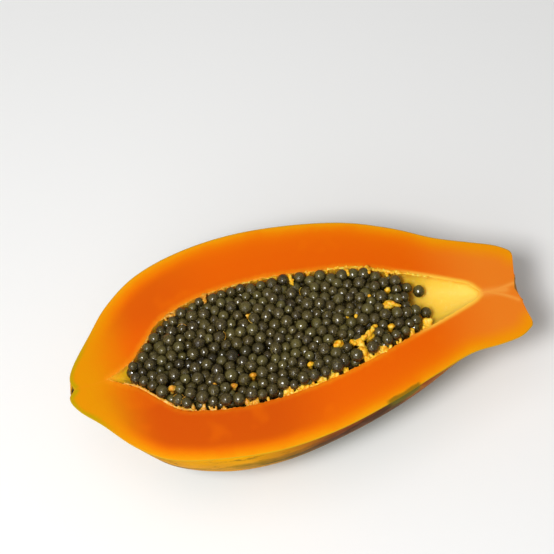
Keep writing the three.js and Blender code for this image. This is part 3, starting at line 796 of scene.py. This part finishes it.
# The nubs, each with small lobes on it and a few fingers beside it.
for x, y, z, side, reach, radius in nubs:
    root = (x, y + side * NUB_ROOT, z - NUB_ROOT * NUB_LEAN)
    tip = (x + shake.uniform(-0.8, 0.8), y - side * reach, z + reach * NUB_LEAN + 0.2 * radius)
    string(root, tip, radius, radius * 0.7, 0.12)
    for _ in range(int(radius * 5)):
        bit = np.array(root) + (np.array(tip) - root) * shake.uniform(0.35, 1)
        beads.append((*(bit + shake.normal(0, radius * 0.36, 3)), shake.uniform(0.35, 0.62) * radius))
    for _ in range(int(1 + radius * 1.5)):
        from_x = x + shake.uniform(-1.1, 1.1) * radius
        to_x = from_x + shake.uniform(-0.7, 0.7) * radius
        to_y = y - side * shake.uniform(0, 1) * reach
        fine = shake.uniform(0.28, 0.5) * radius
        string((from_x, y + side * 0.8, z), (to_x, to_y, z + radius), radius * 0.55, fine, 0.1)

# The fringe, where the rim is torn.
for side in (1, -1):
    for x in np.arange(FRINGE_FROM, FRINGE_TO, FRINGE_STEP):
        far, near, depth = hollow_at(x)
        y = far if side > 0 else near
        torn = noise.noise(Vector((x / 5.5, side * 7, 0.3)))
        torn += 0.6 * noise.noise(Vector((x / 1.3, side * 3, 4)))
        torn -= 0.6 * max(0, (x - 196) / (FRINGE_TO - 196))
        if torn < (TEAR_LIMIT if side > 0 or x > 112 else SPARSE_TEAR_LIMIT):
            continue
        radius = 0.36 + 0.3 * max(0, torn)
        beads.append((x, y - side * (0.1 + 0.6 * max(0, torn)), -0.55 + 0.35 * torn, radius))
        beads.append((x, y + side * 0.3, -0.75, 0.45))
        if torn > 0.5:
            tip = (x + shake.uniform(-1, 1), y - side * shake.uniform(1.2, 2.6), 0.1)
            string((x, y, -0.7), tip, 0.5, 0.28, 0.08)

# The welts, with crumbs along them.
for side, start, end, reach, radius in WELTS:
    for x in np.arange(start, end, 0.6):
        swell = noise.noise(Vector((x / 3.1, 5 * side, 2)))
        middle = 1 - abs(2 * x - start - end) / (end - start)
        if swell < -0.25 - middle:
            continue
        y = hollow_at(x)[0 if side > 0 else 1] - side * reach
        size = radius * min(1, 0.55 + middle) + 0.5 * swell
        beads.append((x, y - side * 0.5 * swell, -0.45 * size, size))
        bit = shake.uniform(0.3, 0.7) * size
        beads.append((x, y + side * shake.uniform(-1.4, 1.0), bit * 0.4, bit))

# The lumps, on all the bare spots but the first, where the lining itself shows.
for x, y, radius in BARE_SPOTS[1:] + LUMP_BITS:
    top = bed_height(x, y) + 2
    string((x, y, top - 8), (x, y, top - 0.8 * radius), radius * 0.7, radius * 0.8, 0.14)
    for _ in range(int(6 + radius * 9)):
        out, turn = 0.75 * radius * shake.uniform(0, 1) ** 0.5, shake.uniform(0, 6.283)
        lump = radius * shake.uniform(0.3, 0.55)
        aside = 1.2 * out * math.cos(turn), 0.8 * out * math.sin(turn)
        beads.append((x + aside[0], y + aside[1], top - 0.7 * out - lump, lump))

# The strips, knobbly with bits.
for x0, y0, x1, y1, thick in BRIDGES:
    ends = [(x, y, bed_height(x, y) + (2.2 if y > 25 else 1.4)) for x, y in ((x0, y0), (x1, y1))]
    string(*ends, thick, thick * 0.6, 0.2)
    for _ in range(int(math.dist((x0, y0), (x1, y1)) * 3)):
        share = shake.uniform(0, 1)
        bit = np.array(ends[0]) * (1 - share) + np.array(ends[1]) * share
        beads.append((*(bit + shake.normal(0, thick * 0.42, 3)), shake.uniform(0.4, 0.7) * thick))

# The threads, each round the seed nearest to its place.
for x, y, start, end in THREADS:
    seed = min(top_seeds, key=lambda seed: math.dist(seed[:2], (x, y)))
    for angle in np.radians(np.arange(start, end, 4)):
        over_x, over_y = (seed[3] * 1.02 * part for part in (math.cos(angle), math.sin(angle)))
        beads.append((seed[0] + over_x, seed[1] + over_y, seed[2] + 1.5, 0.27))

bpy.ops.mesh.primitive_ico_sphere_add(subdivisions=2, radius=1)
one_bead = bpy.context.object
bead = np.array([vertex.co for vertex in one_bead.data.vertices])
bead_faces = np.array([face.vertices for face in one_bead.data.polygons])
bpy.data.objects.remove(one_bead)
placed = np.array(beads)
points = (bead[None] * placed[:, None, 3:] + placed[:, None, :3]).reshape(-1, 3)
points = points @ lying.T * 0.001 + np.array(LYING.translation)
faces = (bead_faces[None] + np.arange(len(placed))[:, None, None] * len(bead)).reshape(-1, 3)
tissue = bpy.data.meshes.new("papaya_placenta")
tissue.from_pydata(points.tolist(), [], faces.tolist())
placenta = bpy.data.objects.new("papaya_placenta", tissue)
bpy.context.collection.objects.link(placenta)
bpy.ops.object.select_all(action="DESELECT")
placenta.select_set(True)
bpy.context.view_layer.objects.active = placenta
merge = placenta.modifiers.new("merge", "REMESH")
merge.mode, merge.voxel_size, merge.use_smooth_shade = "VOXEL", TISSUE_FINENESS / 1000, True
relax = placenta.modifiers.new("relax", "SMOOTH")
relax.factor, relax.iterations = 0.5, 6
for modifier in ("merge", "relax"):
    bpy.ops.object.modifier_apply(modifier=modifier)

torn_tissue = Finish(
    "torn_placenta", Roughness=0.4, Specular_IOR_Level=0.4, Subsurface_Weight=0.3,
    Subsurface_Radius=(1.0, 0.55, 0.1), Subsurface_Scale=0.0015,
)
spots = torn_tissue.mottle(2.4, detail=4)
yellow = torn_tissue.ramp(
    spots, [(0.3, rgb(244, 156, 18)), (0.5, rgb(252, 188, 32)), (0.68, rgb(255, 220, 92))]
)
dull = torn_tissue.ramp(
    spots, [(0.3, rgb(196, 124, 30)), (0.5, rgb(226, 156, 40)), (0.68, rgb(240, 196, 100))]
)
torn_tissue.colour(torn_tissue.blend(torn_tissue.fade(torn_tissue.along("X"), 0.0, -0.05), yellow, dull))
torn_tissue.relief(torn_tissue.mottle(0.7, detail=3), 0.2, 0.4)
placenta.data.materials.append(torn_tissue.material)
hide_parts("flesh_and_skin")
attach(placenta, "root")

# Floor, light and camera of a plain studio.
bpy.ops.mesh.primitive_plane_add(size=6, location=(0, 0, 0))
floor = bpy.context.object
floor.name = "studio_floor"
paper = Finish("studio_paper", Roughness=0.9, Specular_IOR_Level=0.1)
paper.colour(rgb(246, 246, 245))
floor.data.materials.append(paper.material)

world = bpy.data.worlds.new("studio_air")
world.use_nodes = True
world.node_tree.nodes["Background"].inputs["Color"].default_value = (1, 1, 1, 1)
world.node_tree.nodes["Background"].inputs["Strength"].default_value = 0.23
bpy.context.scene.world = world


def softbox(name, azimuth, elevation, distance, size, power):
    """A square light that faces the half, from that many degrees round it and above it."""
    turn, rise = math.radians(azimuth), math.radians(elevation)
    away = Vector((math.sin(turn) * math.cos(rise), -math.cos(turn) * math.cos(rise), math.sin(rise)))
    bpy.ops.object.light_add(type="AREA", location=away * distance)
    light = bpy.context.object
    light.name = name
    light.rotation_euler = away.to_track_quat("Z", "Y").to_euler()
    light.data.size, light.data.energy = size, power


# Degrees round the half and above it, then metres away, metres across and watts.
softbox("light_key", -42, 62, 1.3, 0.32, 10)
softbox("light_top", -80, 76, 1.5, 1.0, 3)
softbox("light_fill", -50, 38, 2.0, 2.2, 14)

AIM = Vector((130.1, 41.6, 0)) * 0.001
turn, rise = math.radians(-14.4), math.radians(62)
back = Vector((math.sin(turn) * math.cos(rise), -math.cos(turn) * math.cos(rise), math.sin(rise)))
right = Vector((math.cos(turn), math.sin(turn), 0))
stand = Matrix((right, back.cross(right), back)).transposed().to_4x4()
stand.translation = AIM + back * 1.1
bpy.ops.object.camera_add()
camera = bpy.context.object
camera.matrix_world = LYING @ stand
camera.data.lens, camera.data.sensor_width = 122.2, 36
camera.data.clip_end = 50
bpy.context.scene.camera = camera
bpy.context.scene.view_settings.view_transform = "Standard"
